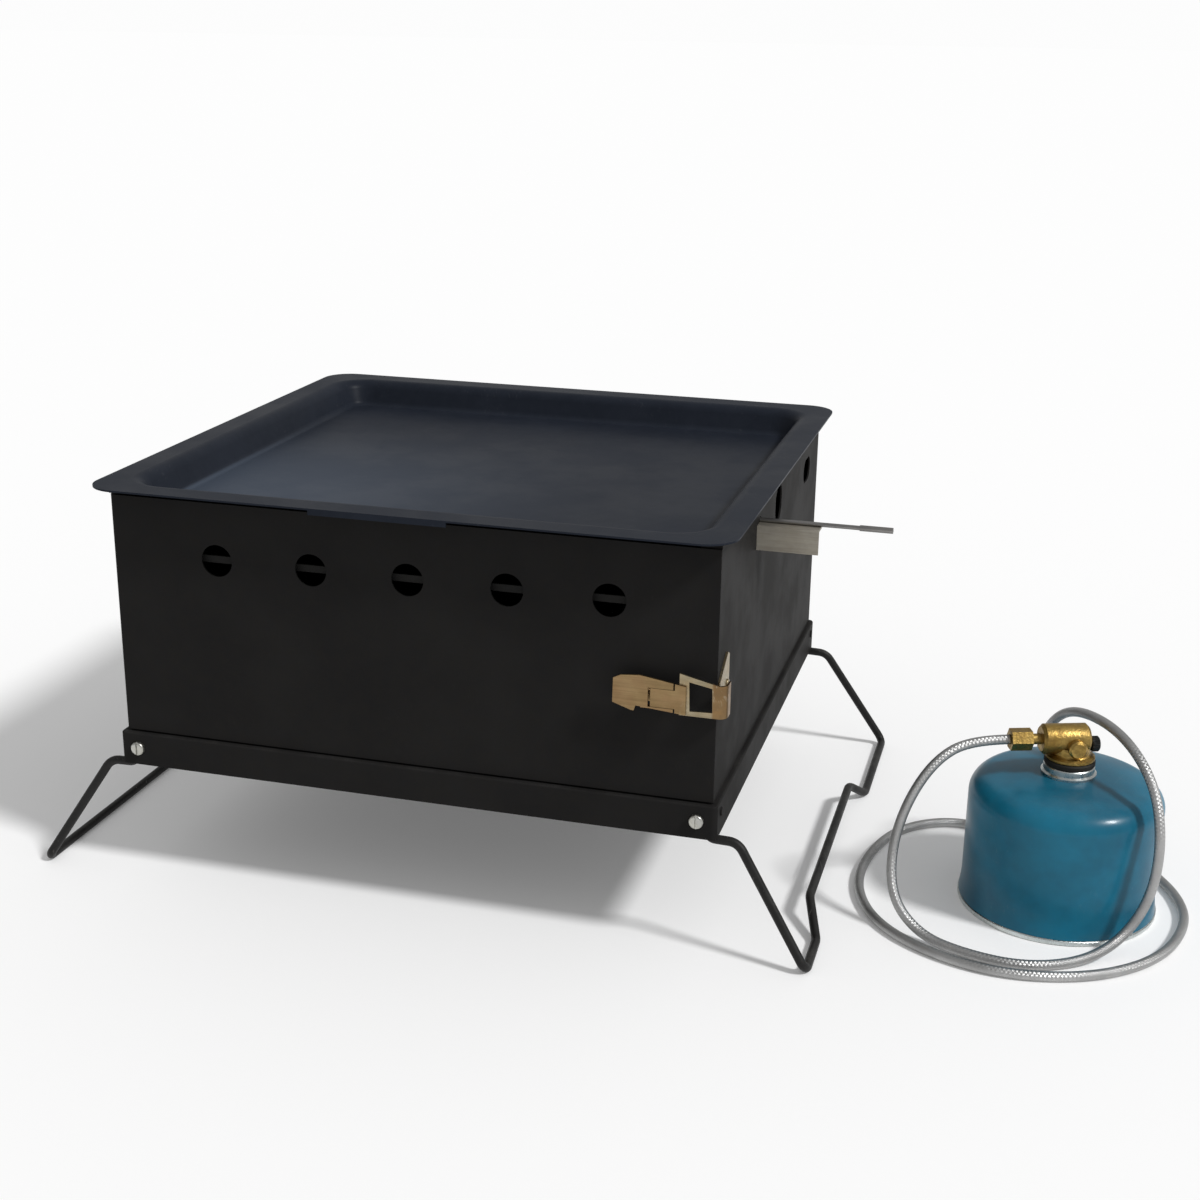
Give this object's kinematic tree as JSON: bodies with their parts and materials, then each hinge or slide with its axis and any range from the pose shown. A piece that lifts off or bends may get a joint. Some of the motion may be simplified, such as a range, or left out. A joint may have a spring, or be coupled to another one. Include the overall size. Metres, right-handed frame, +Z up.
{
  "type": "portable gas pizza oven",
  "caption": "Folding tabletop gas oven with a hinged vented door, lift-off baking tray on top, wire legs and a screw-on gas cartridge with its braided hose.",
  "frame": {"origin": "on the ground, under the middle of the oven's body", "axes": "+X to the oven's right, where the latch and the gas inlet are, +Y to its back, +Z up"},
  "size_m": [0.6462, 0.338, 0.232],
  "materials": {
    "oven_black": "satin",
    "tray_black": "satin",
    "leg_wire": "satin",
    "rack_chrome": "gloss",
    "burner_steel": "satin",
    "stainless": "satin",
    "zinc_screws": "satin",
    "latch_yellow_zinc": "satin",
    "latch_pale_zinc": "satin",
    "brass": "satin",
    "tinned_steel": "satin",
    "cartridge_teal": "gloss",
    "seal_rubber": "matt",
    "knob_plastic": "matt",
    "hose_braid": "satin"
  },
  "bodies": {
    "oven_body": {"base_pan": "oven_black", "wall_rivets": "oven_black", "skirt_gussets": "oven_black", "skirt_rivets": "oven_black", "side_wall_left": "oven_black", "side_wall_right": "oven_black", "back_wall": "oven_black", "door_hinge_pin": "oven_black", "leg_pivot_bolts": "zinc_screws", "leg_pivot_nuts": "zinc_screws", "leg_pivot_washers": "zinc_screws", "front_tie_bar": "oven_black", "rack_rail_left": "oven_black", "rack_rail_right": "oven_black", "oven_rack": "rack_chrome", "burner_tube": "burner_steel", "mixing_tube": "burner_steel", "gas_injector": "brass", "burner_shelf_left": "oven_black", "burner_shelf_right": "oven_black", "inlet_pipe": "stainless", "inlet_pipe_end": "stainless", "inlet_bracket": "stainless", "bracket_rivets": "stainless", "latch_catch": "latch_pale_zinc", "catch_rivets": "latch_pale_zinc"},
    "left_leg": {"leg_left": "leg_wire"},
    "right_leg": {"leg_right": "leg_wire"},
    "door": {"door_panel": "oven_black", "latch_base": "latch_yellow_zinc", "latch_base_rivets": "latch_yellow_zinc", "latch_pivot_pin": "latch_yellow_zinc"},
    "latch_handle": {"latch_lever": "latch_yellow_zinc", "latch_bail_pin": "latch_yellow_zinc"},
    "latch_loop": {"latch_bail": "latch_pale_zinc"},
    "tray": {"baking_tray": "tray_black"},
    "gas_supply": {"cartridge_can": "cartridge_teal", "cartridge_base_rim": "tinned_steel", "cartridge_valve_cup": "tinned_steel", "valve_seal_ring": "seal_rubber", "valve_body": "brass", "hose_nut": "brass", "gas_hose": "hose_braid", "hose_end_ferrule": "tinned_steel", "hose_end_fitting": "brass"},
    "knob": {"valve_knob": "knob_plastic"}
  },
  "joints": [
    {"name": "leg_left_fold", "type": "hinge", "parent": "oven_body", "child": "left_leg", "pos_m": [-0.162, 0, 0.078], "axis": [0, -1, 0], "range_deg": [0, 120]},
    {"name": "leg_right_fold", "type": "hinge", "parent": "oven_body", "child": "right_leg", "pos_m": [0.162, 0, 0.078], "axis": [0, 1, 0], "range_deg": [0, 120]},
    {"name": "door_swing", "type": "hinge", "parent": "oven_body", "child": "door", "pos_m": [-0.1675, -0.1515, 0.157], "axis": [0, 0, -1], "range_deg": [0, 170]},
    {"name": "latch_lever_swing", "type": "hinge", "parent": "door", "child": "latch_handle", "pos_m": [0.148, -0.1586, 0.1465], "axis": [0, 0, 1], "range_deg": [0, 100]},
    {"name": "latch_loop_swing", "type": "hinge", "parent": "latch_handle", "child": "latch_loop", "pos_m": [0.1405, -0.1589, 0.1465], "axis": [0, 0, 1], "range_deg": [-100, 0]},
    {"name": "tray_lift", "type": "slide", "parent": "oven_body", "child": "tray", "axis": [0, 0, 1], "range_m": [0, 0.12]},
    {"name": "gas_supply_lift", "type": "slide", "parent": "oven_body", "child": "gas_supply", "axis": [0, 0, 1], "range_m": [0, 0.1]},
    {"name": "valve_knob_turn", "type": "hinge", "parent": "gas_supply", "child": "knob", "pos_m": [0.35828, -0.0319, 0.0959], "axis": [0.9397, 0.342, 0], "range_deg": [0, 350]}
  ],
  "couplings": [
    {"joint": "latch_loop_swing", "follows": "latch_lever_swing", "ratio": -1}
  ]
}
